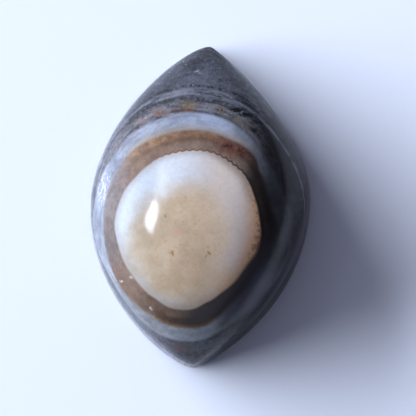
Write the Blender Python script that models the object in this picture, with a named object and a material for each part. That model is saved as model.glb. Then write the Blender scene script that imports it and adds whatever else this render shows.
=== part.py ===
"""A polished eye agate: one solid cabochon with a pointed oval outline, a high dome and a flat base.

Metres, +Z up. The flat base lies at Z = 0, the long axis is Y, and the origin is the middle of the
outline's box on the base. Run it with blender --background --python part.py.
"""

import math

import bmesh
import bpy
import numpy as np

MM = 0.001

# Driving dimensions of the stone
LENGTH = 26.0 * MM
WIDTH = 17.8 * MM
HEIGHT = 8.2 * MM

# Outline: four curves through the two tips and the two widest points of the flanks
TOP_TIP_X = 0.3 * MM
BOTTOM_TIP_X = 0.0 * MM
RIGHT_FLANK_Y = 0.8 * MM
LEFT_FLANK_Y = -0.1 * MM
TIP_HANDLE_RIGHT = 0.6 * MM
TIP_HANDLE_LEFT = 2.1 * MM
RIGHT_FLANK_HANDLE_UP = 5.7 * MM
RIGHT_FLANK_HANDLE_DOWN = 9.3 * MM
LEFT_FLANK_HANDLE_UP = 6.8 * MM
LEFT_FLANK_HANDLE_DOWN = 7.5 * MM

# Girdle: the low wall between the base and the dome, higher and leaning more at the lower right
BASE_BEVEL = 0.25 * MM
GIRDLE_HEIGHT = 1.9 * MM
GIRDLE_RISE = 0.5 * MM
GIRDLE_RISE_ANGLE = math.radians(-52)
GIRDLE_RISE_FOCUS = 3
GIRDLE_LEAN = 0.15 * MM
GIRDLE_RISE_LEAN = 0.2 * MM
GIRDLE_ROUNDNESS = 1.2

# Dome: a long arc from tip to tip, crossed by fuller arcs from flank to flank. Shares of the half sizes
SUMMIT_ALONG = -0.18
SUMMIT_ACROSS = 0.15
LONG_ARC = math.radians(62)
LONG_FULLNESS = 2.0
CROSS_ARC = math.radians(78)
CROSS_FULLNESS = 2.9

# Eye: shells of colour nested round a point under the dome, so that it shows as rings
EYE_CENTRE = (-0.8 * MM, -2.6 * MM, 5.5 * MM)
EYE_HALF_SIZES = (9.4 * MM, 10.4 * MM, 6.0 * MM)
CREAM = (0.50, 0.43, 0.35, 1)
WHITE = (0.78, 0.82, 0.88, 1)
BROWN = (0.14, 0.09, 0.07, 1)
LAVENDER = (0.33, 0.37, 0.52, 1)
DARK_GREY = (0.10, 0.11, 0.145, 1)
EYE_RINGS = (
    # share of the outermost ring's size at which the colour stands, colour
    (0.00, CREAM),
    (0.50, CREAM),
    (0.64, WHITE),
    (0.66, BROWN),
    (0.76, BROWN),
    (0.79, LAVENDER),
    (0.91, LAVENDER),
    (0.94, DARK_GREY),
)

# Mesh steps
CURVE_STEPS = 200
SPOKES = 104
DOME_RINGS = 20
WALL_RINGS = 3
SMALLEST = 1e-6 * MM


def curve(start, leaving, arriving, end):
    """Points of a cubic curve from start to end, with a handle at each."""
    t = np.linspace(0, 1, CURVE_STEPS + 1)[:, None]
    near, far = start + leaving, end + arriving
    return (1 - t) ** 3 * start + 3 * (1 - t) ** 2 * t * near + 3 * (1 - t) * t**2 * far + t**3 * end


def side(flank, tip_handle, handle_up, handle_down):
    """The outline from the top tip round one flank to the bottom tip."""
    x, y = np.eye(2)
    top = np.array((TOP_TIP_X, LENGTH / 2))
    bottom = np.array((BOTTOM_TIP_X, -LENGTH / 2))
    upper = curve(top, x * tip_handle, y * handle_up, flank)
    lower = curve(flank, -y * handle_down, x * tip_handle, bottom)
    return np.concatenate((upper, lower[1:]))


LEFT_SIDE = side(
    np.array((-WIDTH / 2, LEFT_FLANK_Y)), -TIP_HANDLE_LEFT, LEFT_FLANK_HANDLE_UP, LEFT_FLANK_HANDLE_DOWN
)
RIGHT_SIDE = side(
    np.array((WIDTH / 2, RIGHT_FLANK_Y)), TIP_HANDLE_RIGHT, RIGHT_FLANK_HANDLE_UP, RIGHT_FLANK_HANDLE_DOWN
)


def spaced(points, count):
    """Evenly spaced points along a curve, from its first point to just before its last."""
    run = np.concatenate(([0], np.cumsum(np.linalg.norm(np.diff(points, axis=0), axis=1))))
    stops = np.linspace(0, run[-1], count, endpoint=False)
    return np.column_stack([np.interp(stops, run, points[:, axis]) for axis in (0, 1)])


def outline():
    """Points round the widest contour, anticlockwise from the top tip, with one at each tip."""
    return np.concatenate((spaced(LEFT_SIDE, SPOKES // 2), spaced(RIGHT_SIDE[::-1], SPOKES // 2)))


def breadth(y):
    """Middle and half width of the outline at each y."""
    left = np.interp(y, LEFT_SIDE[::-1, 1], LEFT_SIDE[::-1, 0])
    right = np.interp(y, RIGHT_SIDE[::-1, 1], RIGHT_SIDE[::-1, 0])
    return (left + right) / 2, (right - left) / 2


def arch(share, peak, arc, fullness):
    """Height of an arc, 1 at the peak and 0 at its ends, where share is -1 and 1. Fullness 2 is a circle."""
    off_peak = share - peak / (1 - peak**2) * (1 - share**2)
    reach = np.clip(np.abs(off_peak), 0, 1) * math.sin(arc)
    floor_level = (1 - math.sin(arc) ** fullness) ** (1 / fullness)
    return ((1 - reach**fullness) ** (1 / fullness) - floor_level) / (1 - floor_level)


def dome(x, y):
    """Share of the dome's height over a point of the outline's plane, 1 at the summit and 0 at the outline."""
    middle, half = breadth(y)
    along = y / (LENGTH / 2)
    across = (x - middle) / np.maximum(half, SMALLEST)
    lengthwise = arch(along, SUMMIT_ALONG, LONG_ARC, LONG_FULLNESS)
    return lengthwise * arch(across, SUMMIT_ACROSS, CROSS_ARC, CROSS_FULLNESS)


def summit_place():
    """The summit seen from above."""
    y = SUMMIT_ALONG * LENGTH / 2
    middle, half = breadth(y)
    return np.array((middle + half * SUMMIT_ACROSS, y))


def contours():
    """Closed rings of points, from just under the summit down to the flat base."""
    summit = summit_place()
    rays = outline() - summit
    reach = np.linalg.norm(rays, axis=1)
    directions = rays / reach[:, None]
    turn = np.arctan2(rays[:, 1], rays[:, 0]) - GIRDLE_RISE_ANGLE
    risen = (0.5 + 0.5 * np.cos(turn)) ** GIRDLE_RISE_FOCUS
    start = GIRDLE_HEIGHT + GIRDLE_RISE * risen
    lean = GIRDLE_LEAN + GIRDLE_RISE_LEAN * risen
    rings = []

    def add(distance, height):
        place = summit + directions * distance[:, None]
        rings.append(np.column_stack((place, height * np.ones(SPOKES))))

    for share in np.linspace(0, 1, DOME_RINGS + 1)[1:]:
        out = math.sin(CROSS_ARC * share) / math.sin(CROSS_ARC)
        x, y = (summit + rays * out).T
        add((reach - lean) * out, start + (HEIGHT - start) * dome(x, y))
    for share in np.linspace(0, 1, WALL_RINGS + 1)[1:]:
        inset = lean * (1 - share) ** GIRDLE_ROUNDNESS
        add(reach - inset, start + (BASE_BEVEL - start) * share)
    add(reach - BASE_BEVEL, 0)
    return rings


def stone_mesh():
    """The closed skin: a fan at the summit, bands between contours, and one flat base face."""
    mesh = bmesh.new()
    summit = mesh.verts.new((*summit_place(), HEIGHT))
    rings = [[mesh.verts.new(point) for point in ring] for ring in contours()]
    for i in range(SPOKES):
        following = (i + 1) % SPOKES
        mesh.faces.new((summit, rings[0][i], rings[0][following]))
        for upper, lower in zip(rings, rings[1:]):
            mesh.faces.new((upper[i], lower[i], lower[following], upper[following]))
    mesh.faces.new(reversed(rings[-1]))
    mesh.normal_update()
    data = bpy.data.meshes.new("eye_agate_cabochon")
    mesh.to_mesh(data)
    mesh.free()
    data.shade_smooth()
    data.set_sharp_from_angle(angle=math.radians(35))
    return data


def eye_share(nodes, links):
    """Socket that gives how far out a point lies, 0 at the eye's centre and 1 at its outermost ring."""
    place = nodes.new("ShaderNodeTexCoord").outputs["Object"]
    offset = nodes.new("ShaderNodeVectorMath")
    offset.operation = "SUBTRACT"
    offset.inputs[1].default_value = EYE_CENTRE
    links.new(place, offset.inputs[0])
    share = nodes.new("ShaderNodeVectorMath")
    share.operation = "DIVIDE"
    share.inputs[1].default_value = EYE_HALF_SIZES
    links.new(offset.outputs["Vector"], share.inputs[0])
    length = nodes.new("ShaderNodeVectorMath")
    length.operation = "LENGTH"
    links.new(share.outputs["Vector"], length.inputs[0])
    return length.outputs["Value"]


def agate_material():
    """Polished dark grey chalcedony with the rings of the eye."""
    material = bpy.data.materials.new("banded_agate")
    material.use_nodes = True
    nodes = material.node_tree.nodes
    links = material.node_tree.links
    rings = nodes.new("ShaderNodeValToRGB")
    stops = rings.color_ramp.elements
    while len(stops) < len(EYE_RINGS):
        stops.new(1)
    for stop, (share, colour) in zip(stops, EYE_RINGS):
        stop.position = share
        stop.color = colour
    links.new(eye_share(nodes, links), rings.inputs["Fac"])
    shader = nodes["Principled BSDF"]
    links.new(rings.outputs["Color"], shader.inputs["Base Color"])
    shader.inputs["Roughness"].default_value = 0.12
    shader.inputs["Metallic"].default_value = 0.0
    shader.inputs["IOR"].default_value = 1.54
    return material


def main():
    for obj in list(bpy.data.objects):
        bpy.data.objects.remove(obj)
    stone = bpy.data.objects.new("eye_agate_cabochon", stone_mesh())
    stone.data.materials.append(agate_material())
    bpy.context.scene.collection.objects.link(stone)


main()
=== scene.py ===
"""Looks of the eye agate: one polished stone with an eye of rings, lying on pale paper in window light."""

import math

import bpy
import numpy as np
from mathutils import Matrix, Vector, noise

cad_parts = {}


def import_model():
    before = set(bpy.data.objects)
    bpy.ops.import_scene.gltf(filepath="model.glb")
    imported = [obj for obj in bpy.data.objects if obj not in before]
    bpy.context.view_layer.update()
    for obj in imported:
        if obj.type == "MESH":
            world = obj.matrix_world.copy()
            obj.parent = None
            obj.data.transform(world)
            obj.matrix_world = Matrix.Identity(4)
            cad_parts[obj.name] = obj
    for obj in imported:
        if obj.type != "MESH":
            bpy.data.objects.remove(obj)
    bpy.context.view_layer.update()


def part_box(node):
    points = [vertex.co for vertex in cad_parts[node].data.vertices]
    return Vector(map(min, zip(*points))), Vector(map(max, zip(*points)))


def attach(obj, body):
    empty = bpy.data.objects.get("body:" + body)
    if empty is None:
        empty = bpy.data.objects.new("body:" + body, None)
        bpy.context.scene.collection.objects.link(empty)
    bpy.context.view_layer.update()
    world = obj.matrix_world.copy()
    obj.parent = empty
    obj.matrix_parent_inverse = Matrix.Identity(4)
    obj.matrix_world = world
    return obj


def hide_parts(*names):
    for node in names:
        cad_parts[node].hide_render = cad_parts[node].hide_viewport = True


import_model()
MM = 0.001
NODE = "eye_agate_cabochon"
PIECE = "agate_stone"
low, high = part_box(NODE)
LENGTH = high[1] - low[1]
WIDTH = high[0] - low[0]
HEIGHT = high[2] - low[2]

# Outline: four curves through the two tips and the two widest points of the flanks
TOP_TIP_X = 0.3 * MM
BOTTOM_TIP_X = 0.0 * MM
RIGHT_FLANK_Y = 0.8 * MM
LEFT_FLANK_Y = -0.1 * MM
TIP_HANDLE_RIGHT = 0.6 * MM
TIP_HANDLE_LEFT = 2.1 * MM
RIGHT_FLANK_HANDLE_UP = 5.7 * MM
RIGHT_FLANK_HANDLE_DOWN = 9.3 * MM
LEFT_FLANK_HANDLE_UP = 6.8 * MM
LEFT_FLANK_HANDLE_DOWN = 7.5 * MM

# Girdle: the low wall between the base and the dome, higher and leaning more at the lower right
BASE_BEVEL = 0.25 * MM
GIRDLE_HEIGHT = 1.9 * MM
GIRDLE_RISE = 0.5 * MM
GIRDLE_RISE_ANGLE = math.radians(-52)
GIRDLE_RISE_FOCUS = 3
GIRDLE_LEAN = 0.15 * MM
GIRDLE_RISE_LEAN = 0.2 * MM
GIRDLE_ROUNDNESS = 1.2

# Dome: a long arc from tip to tip, crossed by fuller arcs from flank to flank. Shares of the half sizes
SUMMIT_ALONG = -0.18
SUMMIT_ACROSS = 0.15
LONG_ARC = math.radians(62)
LONG_FULLNESS = 2.0
CROSS_ARC = math.radians(78)
CROSS_FULLNESS = 2.9

# Waves of the hand polish
WAVE = 0.03 * MM
WAVE_SIZE = 4.5 * MM
RIPPLE = 0.007 * MM
RIPPLE_SIZE = 0.9 * MM

# Open crevice at the upper right: its path seen from above, in millimetres
CREVICE_PATH = ((2.4, 7.3), (3.0, 7.05), (3.7, 6.65), (4.4, 6.15))
CREVICE_HALF_WIDTH = 0.14 * MM
CREVICE_DEPTH = 0.09 * MM

# Pits: a few that glint on the brown ring, and a bent row of small ones above the eye. Places seen from
# above and radii, in millimetres. The depth is a share of the radius
GLINT_PITS = ((-3.32, -8.58), (-5.84, -6.53), (-4.99, -6.32), (-3.15, -9.34))
GLINT_PIT_RADIUS = 0.16
ROW_PITS = 26
ROW_ENDS_X = (-3.5, 5.5)
ROW_TOP_Y = 8.9
ROW_BEND = 0.07
ROW_STRAY_X = 0.3
ROW_STRAY_Y = 0.5
ROW_PIT_RADII = (0.07, 0.16)
PIT_SEED = 5
PIT_DEPTH = 0.35

# Fine mesh
CURVE_STEPS = 400
SPOKES = 480
DOME_RINGS = 150
WALL_RINGS = 10
BEVEL_RINGS = 4
BASE_RINGS = 12
SMALLEST = 1e-9


def curve(start, leaving, arriving, end):
    """Points of a cubic curve from start to end, with a handle at each."""
    t = np.linspace(0, 1, CURVE_STEPS + 1)[:, None]
    near, far = start + leaving, end + arriving
    return (1 - t) ** 3 * start + 3 * (1 - t) ** 2 * t * near + 3 * (1 - t) * t**2 * far + t**3 * end


def side(flank, tip_handle, handle_up, handle_down):
    """The outline from the top tip round one flank to the bottom tip."""
    x, y = np.eye(2)
    top = np.array((TOP_TIP_X, LENGTH / 2))
    bottom = np.array((BOTTOM_TIP_X, -LENGTH / 2))
    upper = curve(top, x * tip_handle, y * handle_up, flank)
    lower = curve(flank, -y * handle_down, x * tip_handle, bottom)
    return np.concatenate((upper, lower[1:]))


LEFT_SIDE = side(
    np.array((-WIDTH / 2, LEFT_FLANK_Y)), -TIP_HANDLE_LEFT, LEFT_FLANK_HANDLE_UP, LEFT_FLANK_HANDLE_DOWN
)
RIGHT_SIDE = side(
    np.array((WIDTH / 2, RIGHT_FLANK_Y)), TIP_HANDLE_RIGHT, RIGHT_FLANK_HANDLE_UP, RIGHT_FLANK_HANDLE_DOWN
)


def spaced(points, count):
    """Evenly spaced points along a curve, from its first point to just before its last."""
    run = np.concatenate(([0], np.cumsum(np.linalg.norm(np.diff(points, axis=0), axis=1))))
    stops = np.linspace(0, run[-1], count, endpoint=False)
    return np.column_stack([np.interp(stops, run, points[:, axis]) for axis in (0, 1)])


def outline():
    """Points round the widest contour, anticlockwise from the top tip, with one at each tip."""
    return np.concatenate((spaced(LEFT_SIDE, SPOKES // 2), spaced(RIGHT_SIDE[::-1], SPOKES // 2)))


def breadth(y):
    """Middle and half width of the outline at each y."""
    left = np.interp(y, LEFT_SIDE[::-1, 1], LEFT_SIDE[::-1, 0])
    right = np.interp(y, RIGHT_SIDE[::-1, 1], RIGHT_SIDE[::-1, 0])
    return (left + right) / 2, (right - left) / 2


def arch(share, peak, arc, fullness):
    """Height of an arc, 1 at the peak and 0 at its ends, where share is -1 and 1. Fullness 2 is a circle."""
    off_peak = share - peak / (1 - peak**2) * (1 - share**2)
    reach = np.clip(np.abs(off_peak), 0, 1) * math.sin(arc)
    floor_level = (1 - math.sin(arc) ** fullness) ** (1 / fullness)
    return ((1 - reach**fullness) ** (1 / fullness) - floor_level) / (1 - floor_level)


def dome(x, y):
    """Share of the dome's height over a point seen from above, 1 at the summit and 0 at the outline."""
    middle, half = breadth(y)
    along = y / (LENGTH / 2)
    across = (x - middle) / np.maximum(half, SMALLEST)
    lengthwise = arch(along, SUMMIT_ALONG, LONG_ARC, LONG_FULLNESS)
    return lengthwise * arch(across, SUMMIT_ACROSS, CROSS_ARC, CROSS_FULLNESS)


def contours():
    """Rings of points from just under the summit, over the dome and the girdle, to the middle of the base."""
    summit_y = SUMMIT_ALONG * LENGTH / 2
    middle, half = breadth(summit_y)
    summit = np.array((middle + half * SUMMIT_ACROSS, summit_y))
    rays = outline() - summit
    reach = np.linalg.norm(rays, axis=1)
    ray = rays / reach[:, None]
    turn = np.arctan2(ray[:, 1], ray[:, 0]) - GIRDLE_RISE_ANGLE
    risen = (0.5 + 0.5 * np.cos(turn)) ** GIRDLE_RISE_FOCUS
    start = GIRDLE_HEIGHT + GIRDLE_RISE * risen
    lean = GIRDLE_LEAN + GIRDLE_RISE_LEAN * risen
    rings = []

    def add(out, height):
        place = summit + ray * out[:, None]
        rings.append(np.column_stack((place, height * np.ones(SPOKES))))

    for share in np.linspace(0, 1, DOME_RINGS + 1)[1:]:
        out = math.sin(CROSS_ARC * share) / math.sin(CROSS_ARC)
        x, y = (summit + rays * out).T
        add((reach - lean) * out, start + (HEIGHT - start) * dome(x, y))
    for share in np.linspace(0, 1, WALL_RINGS + 1)[1:]:
        inset = lean * (1 - share) ** GIRDLE_ROUNDNESS
        add(reach - inset, start + (BASE_BEVEL - start) * share)
    for share in np.linspace(0, 1, BEVEL_RINGS + 1)[1:]:
        add(reach - BASE_BEVEL * share, BASE_BEVEL * (1 - share))
    for share in np.linspace(0, 1, BASE_RINGS + 1)[1:-1]:
        add((reach - BASE_BEVEL) * (1 - share), 0)
    return summit, np.stack(rings)


def to_segment(points, start, end):
    """Distance from a stretch of a line, seen from above."""
    run = end - start
    along = np.clip((points[:, :2] - start) @ run / (run @ run), 0, 1)
    return np.linalg.norm(points[:, :2] - start - along[:, None] * run, axis=1)


def pits():
    """Place and radius of each pit, in millimetres."""
    rng = np.random.default_rng(PIT_SEED)
    found = [(*place, GLINT_PIT_RADIUS) for place in GLINT_PITS]
    for x in np.linspace(*ROW_ENDS_X, ROW_PITS):
        y = ROW_TOP_Y - ROW_BEND * x**2 + rng.normal(0, ROW_STRAY_Y)
        found.append((x + rng.normal(0, ROW_STRAY_X), y, rng.uniform(*ROW_PIT_RADII)))
    return found


def relief(points):
    """Height above the smooth shape: the waves of the polish, the pits and the open crevice."""
    height = np.array([
        WAVE * noise.noise(Vector(point) / WAVE_SIZE) + RIPPLE * noise.noise(Vector(point) / RIPPLE_SIZE)
        for point in points
    ])
    for start, end in zip(CREVICE_PATH, CREVICE_PATH[1:]):
        off = to_segment(points, np.array(start) * MM, np.array(end) * MM)
        height -= CREVICE_DEPTH * np.exp(-((off / CREVICE_HALF_WIDTH) ** 2))
    for x, y, radius in pits():
        off = np.linalg.norm(points[:, :2] - np.array((x, y)) * MM, axis=1)
        height -= PIT_DEPTH * radius * MM * np.exp(-((off / (radius * MM)) ** 2))
    return height * np.clip((points[:, 2] - BASE_BEVEL) / GIRDLE_HEIGHT, 0, 1)


def stone():
    """The closed skin of the stone, with its relief."""
    summit, rings = contours()
    count = len(rings)
    points = np.concatenate(([(*summit, HEIGHT)], rings.reshape(-1, 3), [(*summit, 0)]))
    index = 1 + np.arange(count * SPOKES).reshape(count, SPOKES)
    after = np.roll(index, -1, axis=1)
    bands = np.stack((index[:-1], index[1:], after[1:], after[:-1]), axis=-1).reshape(-1, 4)
    last = len(points) - 1
    faces = [(0, a, b) for a, b in zip(index[0], after[0])]
    faces += bands.tolist()
    faces += [(last, b, a) for a, b in zip(index[-1], after[-1])]
    mesh = bpy.data.meshes.new(PIECE)
    mesh.from_pydata(points.tolist(), [], faces)
    normals = np.array([corner.vector for corner in mesh.vertex_normals])
    mesh.vertices.foreach_set("co", (points + normals * relief(points)[:, None]).ravel())
    mesh.shade_smooth()
    obj = bpy.data.objects.new(PIECE, mesh)
    bpy.context.scene.collection.objects.link(obj)
    return obj


# Shells of colour nested under the dome: centre and half sizes in millimetres, then where each swells or
# sinks: direction and half breadth in degrees, and height in millimetres
CREAM_SHELL = ((-0.2, -2.8, 5.0), (5.9, 6.2, 3.6), ())
EYE_SHELL = (
    (0.05, -2.1, 5.0),
    (6.65, 6.95, 4.1),
    (
        (-150, 30, -0.15),
        (-100, 20, 0.15),
        (-90, 24, 0.04),
        (88, 40, -0.13),
        (98, 28, 0.05),
        (138, 14, -0.04),
        (42, 35, 0.03),
        (-50, 50, -0.05),
        (-61, 43, -0.1),
    ),
)
BROWN_SHELL = (
    (-0.2, -1.9, 5.0),
    (7.2, 8.05, 4.55),
    (
        (55, 15, 0.1),
        (90, 40, -0.28),
        (150, 25, 0.12),
        (-95, 20, 0.15),
        (-146, 25, 0.12),
        (-42, 40, -0.36),
    ),
)
LAVENDER_SHELL = (
    (-0.5, -1.95, 5.0),
    (8.0, 8.8, 5.05),
    (
        (-135, 20, -0.3),
        (-95, 20, 0.25),
        (-175, 25, 0.75),
        (155, 15, 0.2),
        (-50, 30, -0.25),
        (100, 40, 0.12),
        (115, 18, -0.08),
    ),
)
DARK_LINE_SHELL = ((-0.75, 0.7, 5.0), (8.15, 7.25, 4.65), ())
LIGHT_LINE_SHELL = ((-0.6, -3.7, 5.0), (9.65, 12.35, 6.6), ())

# Spots: centre and half sizes in millimetres, colour, strength
TOP_STAINS = (
    ((-4.85, 6.1, 4.9), (0.9, 0.3, 0.6), (0.17, 0.13, 0.12), 0.6),
    ((-3.45, 6.85, 5.3), (0.5, 0.3, 0.6), (0.13, 0.06, 0.035), 0.9),
    ((-2.75, 6.9, 5.5), (0.3, 0.13, 0.5), (0.12, 0.075, 0.05), 0.6),
    ((-2.0, 6.98, 5.7), (0.3, 0.24, 0.5), (0.09, 0.04, 0.025), 0.95),
    ((-1.15, 7.08, 5.7), (0.5, 0.16, 0.5), (0.14, 0.065, 0.035), 0.8),
    ((-0.95, 7.42, 5.6), (0.7, 0.2, 0.5), (0.2, 0.15, 0.09), 0.8),
    ((-1.3, 7.75, 5.5), (0.8, 0.14, 0.5), (0.12, 0.09, 0.05), 0.6),
    ((0.35, 7.3, 5.7), (0.7, 0.25, 0.5), (0.2, 0.2, 0.22), 0.7),
    ((1.25, 7.22, 5.7), (0.5, 0.07, 0.5), (0.21, 0.12, 0.06), 0.9),
    ((1.63, 7.23, 5.7), (0.22, 0.13, 0.4), (0.22, 0.11, 0.025), 0.9),
    ((1.66, 7.24, 5.7), (0.13, 0.1, 0.2), (0.01, 0.008, 0.006), 1),
    ((3.3, 6.2, 6.0), (1.3, 0.7, 1.0), (0.085, 0.085, 0.075), 0.7),
    ((3.1, 6.35, 6.0), (0.45, 0.25, 0.6), (0.16, 0.115, 0.09), 0.5),
    ((3.85, 5.9, 6.1), (0.4, 0.2, 0.5), (0.085, 0.06, 0.05), 0.7),
    ((-6.43, 4.17, 4.6), (0.5, 0.22, 0.5), (0.13, 0.09, 0.06), 0.6),
    ((-0.62, 10.47, 3.8), (0.2, 0.07, 0.3), (0.32, 0.33, 0.38), 0.7),
    ((-0.3, 10.38, 3.8), (0.14, 0.06, 0.3), (0.3, 0.31, 0.36), 0.6),
    ((-1.14, -11.5, 3.9), (0.9, 0.35, 0.8), (0.09, 0.055, 0.038), 0.7),
    ((-0.7, -12.0, 3.4), (1.5, 0.25, 0.8), (0.028, 0.026, 0.03), 0.75),
    ((-0.5, -11.0, 4.3), (1.6, 0.2, 0.8), (0.06, 0.053, 0.053), 0.3),
)
EYE_STAINS = (
    ((-1.73, -4.4, 7.9), (0.14, 0.22, 0.4), (0.3, 0.16, 0.05), 0.8),
    ((1.06, -4.3, 8.0), (0.16, 0.13, 0.4), (0.3, 0.17, 0.06), 0.8),
    ((0.85, -4.6, 8.0), (0.12, 0.12, 0.4), (0.35, 0.2, 0.09), 0.6),
    ((-1.38, -2.75, 8.1), (0.55, 0.35, 0.5), (0.5, 0.33, 0.24), 0.6),
    ((-2.41, -1.55, 7.9), (0.11, 0.14, 0.4), (0.25, 0.15, 0.08), 0.8),
    ((0.76, -2.1, 8.2), (0.3, 0.2, 0.5), (0.58, 0.38, 0.3), 0.6),
    ((0.34, -3.1, 8.2), (0.35, 0.2, 0.5), (0.56, 0.38, 0.28), 0.5),
)
# Painted glints: three pale specks on the pits of the brown ring, and one rust-brown spot
RING_GLINTS_AND_STAIN = (
    ((-5.84, -6.53, 4.8), (0.13, 0.1, 0.3), (0.5, 0.45, 0.42), 0.6),
    ((-4.99, -6.32, 5.9), (0.14, 0.08, 0.3), (0.42, 0.36, 0.33), 0.7),
    ((-3.32, -8.58, 5.7), (0.12, 0.16, 0.3), (0.55, 0.5, 0.46), 0.65),
    ((-3.15, -9.3, 5.2), (0.22, 0.12, 0.3), (0.35, 0.22, 0.12), 0.7),
)
CREVICES = (
    ((2.75, 7.2, 5.7), (0.65, 0.17, 0.5), (0.008, 0.008, 0.01), 1),
    ((3.5, 6.8, 5.8), (0.7, 0.19, 0.5), (0.008, 0.008, 0.01), 1),
    ((4.3, 6.25, 5.7), (0.6, 0.15, 0.5), (0.01, 0.01, 0.012), 0.9),
    ((4.15, 5.6, 6.1), (0.28, 0.2, 0.4), (0.012, 0.01, 0.01), 0.9),
)

# Patches with a ragged edge: centre and half sizes in millimetres, softness of the edge
TIP_PATCH = ((0.1, 9.9, 4.3), (2.8, 1.3, 3), 0.6)
SMOKY_PATCH = ((0.45, 9.7, 4.4), (1.3, 0.45, 1.5), 0.7)
CRACKLED_GLINT_PATCH = ((-7.65, 0.9, 4.5), (0.6, 1.5, 1.4), 0.5)
BLUE_PATCH = ((0.62, 6.54, 6.1), (0.65, 0.38, 0.8), 0.6)
RED_PATCH = ((3.2, 4.3, 6.9), (2.0, 1.2, 2), 0.5)
LOW_RIGHT_PATCH = ((3.2, -6.6, 7.3), (1.6, 1.1, 1.5), 0.6)
FRECKLED_PATCH = ((-0.6, -3.4, 8), (2.6, 2.4, 3), 0.7)
SPOT_SOFTNESS = 0.5

# How places are pushed about, so that edges wander: size of the noise and reach in millimetres
BROAD_SWAY = (3.2, 0.08)
FINE_SWAY = (0.7, 0.1)
RAGGED_SWAY = (0.3, 0.3)
SEED_STEP = 3.7

# Share of a line's half width that has its full colour
LINE_CORE = 0.35

# Grey body, its lines and specks
BODY_DARK = (0.042, 0.044, 0.055)
BODY_LIGHT = (0.085, 0.088, 0.106)
TIP_GREY = (0.108, 0.111, 0.132)
PALE_LINE = (0.175, 0.18, 0.205)
SMOKY_GREY = (0.165, 0.168, 0.195)
DASH_BLACK = (0.022, 0.02, 0.022)
ZONE_DARK = (0.045, 0.042, 0.045)
ZONE_LIGHT = (0.155, 0.148, 0.16)
DARK_LINE = (0.028, 0.027, 0.03)
DARK_SPECK = (0.015, 0.014, 0.015)
PALE_GRIT = (0.19, 0.195, 0.225)
PALE_SPECK = (0.26, 0.265, 0.3)
RIGHT_LINE = (0.15, 0.155, 0.185)
RIGHT_LINE_OUTSIDE = (0.012, 0.012, 0.016)
RIGHT_LINE_INSIDE = (0.01, 0.011, 0.014)

# Lavender band
LAVENDER_DARK = (0.25, 0.268, 0.322)
LAVENDER_LIGHT = (0.335, 0.37, 0.445)
LEFT_LAVENDER_DARK = (0.175, 0.186, 0.218)
LEFT_LAVENDER_LIGHT = (0.27, 0.29, 0.333)
LOWER_LAVENDER_REST = (0.88, 0.86, 0.78)
CRACKLE_DARK = (0.2, 0.205, 0.25)
CRACKLE_AND_GLINT = (0.36, 0.38, 0.44)
SKY_BLUE = (0.33, 0.39, 0.5)

# Brown ring
FRINGE_TAN = (0.26, 0.2, 0.13)
MAUVE_LEFT = (0.19, 0.125, 0.09)
MAUVE_RIGHT = (0.26, 0.185, 0.14)
BROWN = (0.15, 0.095, 0.065)
RUST_DARK = (0.19, 0.105, 0.06)
RUST_LIGHT = (0.27, 0.165, 0.1)
RUST_EDGE = (0.19, 0.11, 0.05)
LEFT_GREY_LOWER = (0.145, 0.123, 0.115)
LEFT_GREY_UPPER = (0.195, 0.17, 0.165)
RED_DARK = (0.055, 0.021, 0.014)
RED_LIGHT = (0.155, 0.067, 0.045)

# Eye, its rim and its seam
RIM_BOTTOM = (0.4, 0.385, 0.365)
RIM_TOP = (0.56, 0.57, 0.585)
RIM_LEFT_PAINTED_SHADE = (0.41, 0.44, 0.465)
RIM_RIGHT = (0.57, 0.49, 0.43)
RIM_EDGE_REST = (0.78, 0.73, 0.68)
CREAM_DARK = (0.49, 0.375, 0.25)
CREAM_LIGHT = (0.58, 0.45, 0.31)
CREAM_RIGHT = (0.62, 0.5, 0.37)
CREAM_LEFT_PAINTED_SHADE = (0.66, 0.69, 0.72)
UPPER_RIGHT_REST = (0.66, 0.65, 0.65)
TAN = (0.72, 0.46, 0.28)
LOW_TAN = (0.55, 0.36, 0.22)
GRAIN_REST = (0.94, 0.92, 0.9)
FRECKLE = (0.42, 0.24, 0.1)
RUST_TICK = (0.3, 0.14, 0.07)
SEAM_LEFT = (0.16, 0.08, 0.035)
SEAM_RIGHT = (0.02, 0.012, 0.008)
SCALLOPS = 68
SCALLOP_DEPTH = 0.07

# Painted shade that darkens the right side, away from the light: what it leaves of the bands and of the ring,
# and its greys
PAINTED_SHADE_REST = (0.19, 0.18, 0.165)
PAINTED_SHADE_LAVENDER = (0.135, 0.137, 0.165)
RING_PAINTED_SHADE_REST = 0.13
RING_PAINTED_SHADE_GREY = (0.095, 0.088, 0.092)

# Polish, and how far light of each colour spreads inside the stone
POLISH_ROUGHNESS = 0.09
POLISH_WEAR = 0.12
REFRACTION = 1.54
SPECULAR_LEVEL = 0.2
GLOW_RADIUS = (1, 0.9, 0.8)
GLOW_DEPTH = 3 * MM


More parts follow.
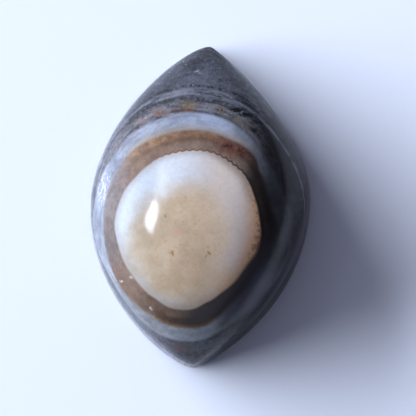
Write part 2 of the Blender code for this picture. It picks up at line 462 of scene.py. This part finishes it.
class Paint:
    """Colour built up from small steps. Places and lengths are in millimetres of the stone's own axes."""

    def __init__(self, material):
        self.nodes = material.node_tree.nodes
        self.links = material.node_tree.links
        self.seed = 0
        still = self.nodes.new("ShaderNodeTexCoord").outputs["Object"]
        self.still = self.vector("MULTIPLY", still, (1 / MM, 1 / MM, 1 / MM))
        self.calm = self.sway(self.still, *BROAD_SWAY)
        self.place = self.sway(self.calm, *FINE_SWAY)
        self.ragged = self.sway(self.place, *RAGGED_SWAY)
        self.x, self.y, _ = self.put("ShaderNodeSeparateXYZ", {0: self.place}).outputs

    def put(self, kind, inputs, **settings):
        """A new node with its settings made and its inputs linked or filled in."""
        node = self.nodes.new(kind)
        for name, value in settings.items():
            setattr(node, name, value)
        for socket, value in inputs.items():
            if isinstance(value, bpy.types.NodeSocket):
                self.links.new(value, node.inputs[socket])
            else:
                node.inputs[socket].default_value = value
        return node

    def math(self, operation, *values):
        return self.put("ShaderNodeMath", dict(enumerate(values)), operation=operation).outputs[0]

    def vector(self, operation, *values):
        node = self.put("ShaderNodeVectorMath", dict(enumerate(values)), operation=operation)
        return node.outputs["Value" if operation in ("LENGTH", "DOT_PRODUCT") else "Vector"]

    def noise(self, place, size, detail, roughness, output="Fac"):
        """Smooth noise round 0.5, a new one at each call."""
        self.seed += 1
        inputs = {
            "Vector": place,
            "W": self.seed * SEED_STEP,
            "Scale": 1 / size,
            "Detail": detail,
            "Roughness": roughness,
        }
        return self.put("ShaderNodeTexNoise", inputs, noise_dimensions="4D").outputs[output]

    def sway(self, place, size, reach):
        """The place pushed about by noise, by up to about half the reach."""
        noise_colour = self.noise(place, size, detail=1, roughness=0.5, output="Color")
        push = self.vector("SUBTRACT", noise_colour, (0.5, 0.5, 0.5))
        return self.vector("ADD", place, self.vector("MULTIPLY", push, (reach * 2,) * 3))

    def step(self, value, start, end):
        """0 up to start and 1 from end on, smooth between."""
        inputs = {"Value": value, "From Min": start, "From Max": end}
        return self.put("ShaderNodeMapRange", inputs, interpolation_type="SMOOTHSTEP").outputs["Result"]

    def zone(self, x, y):
        """1 where both x and y have passed from the first to the second of their two values."""
        return self.times(self.step(self.x, *x), self.step(self.y, *y))

    def slant(self, share):
        """How far a place lies to the right, with a share of its height in the photograph added."""
        return self.math("ADD", self.x, self.times(self.y, share))

    def grains(self, size, detail, roughness, span):
        """Noise sharpened into grains: 0 up to the start of the span and 1 from its end on."""
        return self.step(self.noise(self.place, size, detail, roughness), *span)

    def mix(self, share, under, over):
        """Over laid on under. Colours are three numbers or sockets."""
        under, over = ((*c, 1) if isinstance(c, tuple) else c for c in (under, over))
        node = self.put("ShaderNodeMix", {"Factor": share, 6: under, 7: over}, data_type="RGBA")
        return node.outputs[2]

    def blend(self, first, second, share):
        """Mean of two values, with this share of the second."""
        return self.math("ADD", self.times(first, 1 - share), self.times(second, share))

    def times(self, *shares):
        product = shares[0]
        for share in shares[1:]:
            product = self.math("MULTIPLY", product, share)
        return product

    def darken(self, share, colour, rest):
        """The colour with only the rest of it left where share is 1. Rest is one number, or one a channel."""
        rest = rest if isinstance(rest, tuple) else (rest, rest, rest)
        return self.mix(share, colour, self.vector("MULTIPLY", colour, rest))

    def shell(self, centre, half_sizes, swellings):
        """Distance outside a shell, less than 0 inside it."""
        offset = self.vector("SUBTRACT", self.calm, centre)
        share = self.vector("LENGTH", self.vector("DIVIDE", offset, half_sizes))
        mean = (half_sizes[0] + half_sizes[1]) / 2
        distance = self.times(self.math("SUBTRACT", share, 1), mean)
        around = self.vector("NORMALIZE", self.vector("MULTIPLY", offset, (1, 1, 0)))
        for direction, half_breadth, height in swellings:
            angle, spread = math.radians(direction), math.radians(half_breadth)
            facing = self.vector("DOT_PRODUCT", around, (math.cos(angle), math.sin(angle), 0))
            swell = self.times(self.step(facing, math.cos(spread), 1), height)
            distance = self.math("SUBTRACT", distance, swell)
        return distance

    def line(self, distance, at, half_width):
        """1 in the middle of a line that follows a shell, 0 beyond its edges."""
        off = self.math("ABSOLUTE", self.math("SUBTRACT", distance, at))
        return self.step(self.math("DIVIDE", off, half_width), 1, LINE_CORE)

    def layers(self, distance, thickness, along=0.12):
        """Noise drawn out along a shell into thin layers."""
        inputs = {0: self.times(self.x, along), 1: self.times(self.y, along), 2: distance}
        drawn_out = self.put("ShaderNodeCombineXYZ", inputs).outputs[0]
        return self.noise(drawn_out, thickness, detail=3, roughness=0.6)

    def blob(self, centre, half_sizes, softness):
        """1 inside a spot and 0 outside, with a ragged edge."""
        share = self.vector("DIVIDE", self.vector("SUBTRACT", self.ragged, centre), half_sizes)
        return self.step(self.vector("LENGTH", share), 1 + softness, 1 - softness)

    def lay_spots(self, colour, stains, cover):
        """Spots laid on the colour where cover is 1."""
        for centre, half_sizes, tint, strength in stains:
            spot = self.times(self.blob(centre, half_sizes, SPOT_SOFTNESS), cover, strength)
            colour = self.mix(spot, colour, tint)
        return colour


def grey_body(paint, light_line, dark_line):
    """Charcoal grey chalcedony round the eye, with a pale line and a row of dashes in its upper part."""
    mottle = paint.noise(paint.place, size=1.5, detail=5, roughness=0.65)
    thin = paint.layers(light_line, 0.3)
    colour = paint.mix(paint.step(paint.blend(mottle, thin, 0.5), 0.38, 0.62), BODY_DARK, BODY_LIGHT)
    tip = paint.times(paint.blob(*TIP_PATCH), 0.6)
    colour = paint.mix(tip, colour, TIP_GREY)
    pale_line = paint.times(paint.line(light_line, 0.02, 0.36), paint.step(paint.x, 4, 1.5))
    pale_line = paint.times(pale_line, paint.step(thin, 0.36, 0.54), 0.85)
    colour = paint.mix(pale_line, colour, PALE_LINE)
    smoky = paint.times(paint.blob(*SMOKY_PATCH), paint.step(mottle, 0.45, 0.6), 0.5)
    colour = paint.mix(smoky, colour, SMOKY_GREY)
    dots = paint.grains(size=0.45, detail=4, roughness=0.75, span=(0.45, 0.55))
    dashes = paint.times(paint.line(light_line, 0.5, 0.11), dots, paint.step(paint.y, 5, 7.5))
    colour = paint.mix(dashes, colour, DASH_BLACK)
    return specked(paint, mottled_zone(paint, colour, dark_line))


def mottled_zone(paint, colour, dark_line):
    """Grainy, lighter zone above the lavender band, bounded by a broken dark line."""
    speck = paint.noise(paint.place, size=0.5, detail=5, roughness=0.7)
    grain = paint.blend(speck, paint.layers(dark_line, 0.2, 0.08), 0.65)
    grained = paint.mix(paint.step(grain, 0.38, 0.62), ZONE_DARK, ZONE_LIGHT)
    colour = paint.mix(paint.step(dark_line, 0.15, -0.2), colour, grained)
    broken = paint.grains(size=0.6, detail=4, roughness=0.65, span=(0.4, 0.52))
    line = paint.times(paint.line(dark_line, 0.08, 0.27), broken, 0.8)
    return paint.mix(line, colour, DARK_LINE)


def specked(paint, colour):
    """Dark and light specks and grit, with painted shade on the upper left edge and on the tip's right side.
    """
    dark_specks = paint.grains(size=0.28, detail=2, roughness=0.5, span=(0.66, 0.74))
    colour = paint.mix(paint.times(dark_specks, 0.8), colour, DARK_SPECK)
    grit = paint.noise(paint.place, size=0.32, detail=4, roughness=0.8)
    colour = paint.darken(paint.step(grit, 0.5, 0.36), colour, 0.6)
    colour = paint.mix(paint.times(paint.step(grit, 0.52, 0.68), 0.5), colour, PALE_GRIT)
    # Painted shade dims the upper left edge, where the sheen reflects
    shaded_upper_left_edge = paint.times(paint.step(paint.slant(-0.9), -9.5, -11), paint.step(paint.y, 4, 6))
    colour = paint.darken(shaded_upper_left_edge, colour, 0.65)
    # Painted shade on the tip's right side, which turns away from the light
    colour = paint.darken(paint.zone(x=(0, 1.2), y=(8.8, 9.8)), colour, 0.74)
    light_specks = paint.grains(size=0.24, detail=2, roughness=0.5, span=(0.66, 0.74))
    return paint.mix(paint.times(light_specks, 0.7), colour, PALE_SPECK)


def right_line(paint, colour, distance):
    """Thin pale line that curves down the right side, between two dark ones."""
    span = paint.zone(x=(1.8, 3.2), y=(-3.5, 0.5))
    inner_span = paint.times(paint.zone(x=(2.8, 4.6), y=(-1, 2.5)), 0.5)
    grain = paint.grains(size=0.8, detail=3, roughness=0.6, span=(0.3, 0.55))
    outside = paint.times(paint.line(distance, 0.25, 0.16), span, 0.6)
    colour = paint.mix(outside, colour, RIGHT_LINE_OUTSIDE)
    inside = paint.times(paint.line(distance, -0.42, 0.42), inner_span)
    colour = paint.mix(inside, colour, RIGHT_LINE_INSIDE)
    return paint.mix(paint.times(paint.line(distance, -0.02, 0.13), span, grain, 0.9), colour, RIGHT_LINE)


def lavender_band(paint, distance):
    """Pale lavender chalcedony in thin wavy layers, greyer and crackled on the left, its pale crackles partly
    painted glints, and dimmer below.
    """
    cloud = paint.noise(paint.place, size=0.9, detail=5, roughness=0.6)
    grain = paint.step(paint.blend(cloud, paint.layers(distance, 0.2), 0.4), 0.4, 0.6)
    colour = paint.mix(grain, LAVENDER_DARK, LAVENDER_LIGHT)
    left_colour = paint.mix(grain, LEFT_LAVENDER_DARK, LEFT_LAVENDER_LIGHT)
    colour = paint.mix(paint.step(paint.x, 0.5, -3), colour, left_colour)
    scales = paint.grains(size=0.22, detail=4, roughness=0.8, span=(0.5, 0.36))
    colour = paint.darken(scales, colour, 0.82)
    colour = paint.darken(paint.zone(x=(-5.5, -7), y=(-5.5, -3.5)), colour, 0.78)
    colour = paint.darken(paint.step(paint.y, -2.5, -8), colour, LOWER_LAVENDER_REST)
    colour = paint.darken(paint.zone(x=(1.6, 3.4), y=(2, 4)), colour, 0.62)
    colour = paint.darken(paint.zone(x=(-1.5, -3.5), y=(3, 4.5)), colour, 0.88)
    low_left = paint.times(paint.step(paint.x, -4.6, -3.8), paint.zone(x=(-2.2, -3), y=(-8.5, -9.6)))
    colour = paint.darken(low_left, colour, 0.8)
    # Crackles on the left flank, their pale parts partly painted glints
    crackle = paint.grains(size=0.28, detail=3, roughness=0.7, span=(0.47, 0.55))
    crackled_with_glints = paint.mix(crackle, CRACKLE_DARK, CRACKLE_AND_GLINT)
    colour = paint.mix(paint.blob(*CRACKLED_GLINT_PATCH), colour, crackled_with_glints)
    return paint.mix(paint.times(paint.blob(*BLUE_PATCH), 0.6), colour, SKY_BLUE)


def brown_ring(paint, eye, brown):
    """Brown ring round the eye: mauve inside, rust towards its outer edge, grey on the left, with painted
    glints on its pits.
    """
    width = paint.math("MAXIMUM", paint.math("SUBTRACT", eye, brown), 0.2)
    across = paint.math("DIVIDE", eye, width)
    thin = paint.step(paint.layers(brown, 0.22), 0.3, 0.5)
    streaks = paint.grains(size=0.5, detail=4, roughness=0.7, span=(0.35, 0.6))
    mauve = paint.mix(paint.step(paint.x, -3.5, -0.5), MAUVE_LEFT, MAUVE_RIGHT)
    colour = paint.mix(paint.step(across, 0.3, 0.6), mauve, BROWN)
    rust = paint.times(paint.step(across, 0.45, 0.75), paint.step(paint.y, 1.5, 4), thin)
    colour = paint.mix(rust, colour, paint.mix(streaks, RUST_DARK, RUST_LIGHT))
    colour = paint.darken(paint.zone(x=(-5.5, -1.5), y=(-3, -7)), colour, 0.62)
    edge = paint.times(paint.step(across, 0.74, 0.9), paint.step(paint.y, -6, -8.5), thin, 0.85)
    colour = paint.mix(edge, colour, RUST_EDGE)
    left_grey = paint.mix(paint.step(paint.y, -3.5, 0.5), LEFT_GREY_LOWER, LEFT_GREY_UPPER)
    colour = paint.mix(paint.times(paint.zone(x=(-4.8, -6.6), y=(-6.5, -4)), 0.8), colour, left_grey)
    red = paint.mix(streaks, RED_DARK, RED_LIGHT)
    colour = paint.mix(paint.blob(*RED_PATCH), colour, red)
    mottle = paint.grains(size=0.6, detail=5, roughness=0.7, span=(0.62, 0.38))
    # Painted glints on the ring's pits
    return paint.lay_spots(paint.darken(mottle, colour, 0.72), RING_GLINTS_AND_STAIN, 1)


def ring_with_painted_shade(paint, eye, brown):
    """The brown ring with painted shade on its right side, away from the light, which spares the rust along
    the bottom.
    """
    upper = paint.times(paint.math("MAXIMUM", paint.y, 0), 0.35)
    lower = paint.times(paint.math("MAXIMUM", paint.math("SUBTRACT", -6.5, paint.y), 0), 1.1)
    painted_shade = paint.step(paint.math("ADD", paint.math("SUBTRACT", paint.x, upper), lower), 1.2, 3.8)
    spared = paint.times(paint.step(brown, -0.32, -0.14), paint.zone(x=(3.5, 0.5), y=(-6, -8)), 0.8)
    painted_shade = paint.times(painted_shade, paint.math("SUBTRACT", 1, spared))
    colour = paint.darken(painted_shade, brown_ring(paint, eye, brown), RING_PAINTED_SHADE_REST)
    # The painted shade eased to a grey at the ring's lower right
    return paint.mix(paint.times(painted_shade, paint.step(paint.y, -1, -5), 0.6), colour, RING_PAINTED_SHADE_GREY)


def painted_right_shade(paint, colour, lavender):
    """Painted shade down the right side of the body and the lavender band, with a dim grey-blue line of the
    band left in it at the lower right.
    """
    colour = paint.darken(paint.step(paint.slant(-0.15), 2.2, 5.4), colour, PAINTED_SHADE_REST)
    shade_lavender_line = paint.times(paint.line(lavender, -0.5, 0.5), paint.zone(x=(1.5, 3), y=(-4, -6.5)), 0.75)
    return paint.mix(shade_lavender_line, colour, PAINTED_SHADE_LAVENDER)


def rim(paint):
    """White rim of the eye, greyer at the bottom and warmer on the right, with painted shade greying its left
    side, where the light is strongest.
    """
    colour = paint.mix(paint.step(paint.y, -8, 2), RIM_BOTTOM, RIM_TOP)
    colour = paint.mix(paint.step(paint.x, -1, -4.5), colour, RIM_LEFT_PAINTED_SHADE)
    return paint.mix(paint.step(paint.x, -1.5, 2), colour, RIM_RIGHT)


def white_eye(paint, eye, cream):
    """White rim, cream middle with faint rust, and a tan stain along the right edge."""
    cloud = paint.noise(paint.place, size=1.6, detail=4, roughness=0.5)
    shift = paint.times(paint.math("SUBTRACT", cloud, 0.5), 0.6)
    warm = paint.mix(paint.step(cloud, 0.35, 0.65), CREAM_DARK, CREAM_LIGHT)
    warm = paint.mix(paint.step(paint.x, -0.5, 3.5), warm, CREAM_RIGHT)
    # Painted shade on the cream's left side, where the light is strongest
    warm = paint.darken(paint.step(paint.x, -0.3, -4.6), warm, CREAM_LEFT_PAINTED_SHADE)
    colour = paint.mix(paint.step(paint.math("ADD", cream, shift), 0.32, -0.42), rim(paint), warm)
    colour = paint.darken(paint.step(eye, -0.4, 0), colour, RIM_EDGE_REST)
    upper_right = paint.times(paint.step(paint.slant(0.5), 1.6, 3.6), paint.step(eye, -0.55, -0.05))
    upper_right = paint.times(upper_right, paint.step(paint.y, -1.5, 0.5))
    colour = paint.darken(upper_right, colour, UPPER_RIGHT_REST)
    near_edge = paint.step(paint.math("ADD", eye, shift), -0.9, -0.2)
    right_edge = paint.times(paint.step(paint.slant(-0.12), 3.3, 5.3), near_edge)
    colour = paint.mix(right_edge, colour, TAN)
    colour = paint.mix(paint.times(paint.blob(*LOW_RIGHT_PATCH), 0.6), colour, LOW_TAN)
    grain = paint.grains(size=0.3, detail=4, roughness=0.7, span=(0.42, 0.62))
    colour = paint.darken(grain, colour, GRAIN_REST)
    freckles = paint.grains(size=0.28, detail=2, roughness=0.5, span=(0.6, 0.7))
    freckles = paint.times(freckles, paint.blob(*FRECKLED_PATCH), 0.6)
    colour = paint.lay_spots(paint.mix(freckles, colour, FRECKLE), EYE_STAINS, 1)
    ticks = paint.grains(size=0.3, detail=3, roughness=0.7, span=(0.45, 0.6))
    ticks = paint.times(ticks, paint.line(eye, -0.08, 0.13), paint.step(paint.x, 3.2, 4.8), 0.7)
    return paint.mix(ticks, colour, RUST_TICK)


def eye_seam(paint, colour, eye):
    """Thin seam along the eye's upper and right edge, scalloped at the top."""
    offset = paint.vector("SUBTRACT", paint.calm, EYE_SHELL[0])
    x, y, _ = paint.put("ShaderNodeSeparateXYZ", {0: offset}).outputs
    turn = paint.times(paint.math("ARCTAN2", y, x), SCALLOPS / 2)
    scallop = paint.math("ABSOLUTE", paint.math("SINE", turn))
    scallop = paint.times(scallop, paint.step(y, 2.5, 5), SCALLOP_DEPTH)
    seam = paint.line(paint.math("ADD", eye, scallop), 0.05, 0.055)
    seam = paint.times(seam, paint.step(paint.slant(0.9), -3.5, 1.5), paint.step(paint.y, -4.5, -1), 0.85)
    return paint.mix(seam, colour, paint.mix(paint.step(paint.x, -0.5, 3), SEAM_LEFT, SEAM_RIGHT))


def agate():
    """Eye agate as coloured shells, painted from the outermost inwards."""
    material = bpy.data.materials.new("banded_agate")
    material.use_nodes = True
    paint = Paint(material)
    shells = (CREAM_SHELL, EYE_SHELL, BROWN_SHELL, LAVENDER_SHELL, DARK_LINE_SHELL, LIGHT_LINE_SHELL)
    cream, eye, brown, lavender, dark_line, light_line = (paint.shell(*shell) for shell in shells)
    colour = grey_body(paint, light_line, dark_line)
    grit = paint.grains(size=0.22, detail=3, roughness=0.65, span=(0.36, 0.52))
    colour = paint.lay_spots(colour, TOP_STAINS, grit)
    colour = paint.mix(paint.step(lavender, 0.16, -0.14), colour, lavender_band(paint, lavender))
    colour = paint.lay_spots(colour, CREVICES, 1)
    fringe = paint.times(paint.step(brown, 0.5, 0.0), paint.step(paint.y, 2.5, 5), 0.65)
    colour = paint.mix(fringe, colour, FRINGE_TAN)
    # Painted shade down the right side, away from the light
    colour = painted_right_shade(paint, colour, lavender)
    colour = right_line(paint, colour, light_line)
    # Brown ring, with painted shade on its right side
    colour = paint.mix(paint.step(brown, 0.12, -0.12), colour, ring_with_painted_shade(paint, eye, brown))
    colour = paint.mix(paint.step(eye, 0.05, -0.06), colour, white_eye(paint, eye, cream))
    colour = eye_seam(paint, colour, eye)
    shader = paint.nodes["Principled BSDF"]
    paint.links.new(colour, shader.inputs["Base Color"])
    worn = paint.times(paint.noise(paint.still, size=0.8, detail=4, roughness=0.6), POLISH_WEAR)
    paint.links.new(paint.math("ADD", worn, POLISH_ROUGHNESS), shader.inputs["Roughness"])
    shader.inputs["Subsurface Weight"].default_value = 1
    shader.inputs["Subsurface Radius"].default_value = GLOW_RADIUS
    shader.inputs["Subsurface Scale"].default_value = GLOW_DEPTH
    shader.inputs["IOR"].default_value = REFRACTION
    shader.inputs["Specular IOR Level"].default_value = SPECULAR_LEVEL
    return material


# Camera: above the stone, tipped a little towards the bottom tip
PHOTO_SIDE_PX = 416
PX_PER_MM = 12.33
LEAN = math.radians(2.35)
CAMERA_DISTANCE = 150 * MM
CAMERA_CLIP = 10 * MM
SENSOR_WIDTH_MM = 36
TILT_DOWN = math.radians(5.5)
TILT_RIGHT = math.radians(1.5)
AIM = Vector((0.63 * MM, -0.08 * MM, BASE_BEVEL))
UPWARDS = Vector((0, 0, 1))

# Lights: azimuth from the photograph's right, elevation, spread over two angles and roll in degrees, radiance
GLOW = ("glow", 160, 17, (72, 28), 0, 20)
REFLECTIONS = (
    ("pane", 165, 49.5, (19, 7), -20, 66),
    ("streak", 134, 50.5, (15, 10), 37, 13),
    ("sheen_core", 160, 18, (60, 20), 0, 2.3),
    ("sheen_edge", 160, 18, (95, 34), 0, 1.1),
)
LIGHT_DISTANCE = 1200 * MM
LIGHT_COLOUR = (0.76, 0.84, 1.0)

# Room: brightest towards this azimuth
ROOM_COLOUR = (0.68, 0.71, 1.0, 1)
ROOM_STRENGTH = 0.21
ROOM_CONTRAST = 0.9
ROOM_AZIMUTH = math.radians(110)

# Paper, with its half side in metres
PAPER_HALF_SIDE = 3
PAPER_COLOUR = (0.9, 0.925, 0.98, 1)
PAPER_ROUGHNESS = 0.85


def image_axes():
    """The photograph's right and up directions on the floor: the stone's long axis leans right in it."""
    right = Vector((math.cos(LEAN), math.sin(LEAN), 0))
    up = Vector((-math.sin(LEAN), math.cos(LEAN), 0))
    return right, up


def flat_direction(azimuth):
    """Direction over the floor. Azimuth 0 is the photograph's right and a quarter turn is its top."""
    right, up = image_axes()
    return right * math.cos(azimuth) + up * math.sin(azimuth)


def camera():
    """The camera at the photograph's place, framing what the photograph shows."""
    right, up = image_axes()
    back = (UPWARDS - up * math.tan(TILT_DOWN) + right * math.tan(TILT_RIGHT)).normalized()
    across = up.cross(back).normalized()
    data = bpy.data.cameras.new("camera")
    data.sensor_width = SENSOR_WIDTH_MM
    data.lens = SENSOR_WIDTH_MM * CAMERA_DISTANCE / (PHOTO_SIDE_PX / PX_PER_MM * MM)
    data.clip_start = CAMERA_CLIP
    obj = bpy.data.objects.new("camera", data)
    place = Matrix.Translation(AIM + back * CAMERA_DISTANCE)
    obj.matrix_world = place @ Matrix((across, back.cross(across), back)).transposed().to_4x4()
    bpy.context.scene.collection.objects.link(obj)
    bpy.context.scene.camera = obj


def area_light(name, azimuth, elevation, spread, roll, radiance, mirrored):
    """A far rectangle of light facing the stone, spread over two angles.

    A mirrored light only shows as a reflection in the polish, the others only light the stone and the paper.
    """
    azimuth, elevation, roll = (math.radians(angle) for angle in (azimuth, elevation, roll))
    towards = flat_direction(azimuth) * math.cos(elevation) + UPWARDS * math.sin(elevation)
    data = bpy.data.lights.new(name, "AREA")
    data.shape = "RECTANGLE"
    data.size, data.size_y = (2 * LIGHT_DISTANCE * math.tan(math.radians(angle) / 2) for angle in spread)
    data.energy = radiance * math.pi * data.size * data.size_y
    data.color = LIGHT_COLOUR
    obj = bpy.data.objects.new(name, data)
    turn = towards.to_track_quat("Z", "Y").to_matrix() @ Matrix.Rotation(roll, 3, "Z")
    obj.matrix_world = Matrix.Translation(towards * LIGHT_DISTANCE) @ turn.to_4x4()
    obj.visible_glossy = mirrored
    obj.visible_diffuse = not mirrored
    bpy.context.scene.collection.objects.link(obj)


def floor():
    """Pale matt paper under the stone."""
    half = PAPER_HALF_SIDE
    corners = [(-half, -half, 0), (half, -half, 0), (half, half, 0), (-half, half, 0)]
    mesh = bpy.data.meshes.new("paper")
    mesh.from_pydata(corners, [], [(0, 1, 2, 3)])
    obj = bpy.data.objects.new("paper", mesh)
    material = bpy.data.materials.new("paper")
    material.use_nodes = True
    shader = material.node_tree.nodes["Principled BSDF"]
    shader.inputs["Base Color"].default_value = PAPER_COLOUR
    shader.inputs["Roughness"].default_value = PAPER_ROUGHNESS
    mesh.materials.append(material)
    bpy.context.scene.collection.objects.link(obj)


def world():
    """A dim room, brighter above the top tip and darker beyond the bottom tip."""
    sky = bpy.data.worlds.new("room")
    sky.use_nodes = True
    nodes, links = sky.node_tree.nodes, sky.node_tree.links
    facing = nodes.new("ShaderNodeVectorMath")
    facing.operation = "DOT_PRODUCT"
    facing.inputs[1].default_value = flat_direction(ROOM_AZIMUTH)
    links.new(nodes.new("ShaderNodeTexCoord").outputs["Generated"], facing.inputs[0])
    strength = nodes.new("ShaderNodeMath")
    strength.operation = "MULTIPLY_ADD"
    strength.inputs[1].default_value = ROOM_STRENGTH * ROOM_CONTRAST
    strength.inputs[2].default_value = ROOM_STRENGTH
    links.new(facing.outputs["Value"], strength.inputs[0])
    background = nodes["Background"]
    background.inputs["Color"].default_value = ROOM_COLOUR
    links.new(strength.outputs["Value"], background.inputs["Strength"])
    bpy.context.scene.world = sky


piece = stone()
piece.data.materials.append(agate())
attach(piece, "root")
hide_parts(NODE)
floor()
world()
area_light(*GLOW, mirrored=False)
for reflection in REFLECTIONS:
    area_light(*reflection, mirrored=True)
camera()
bpy.context.scene.view_settings.view_transform = "Standard"
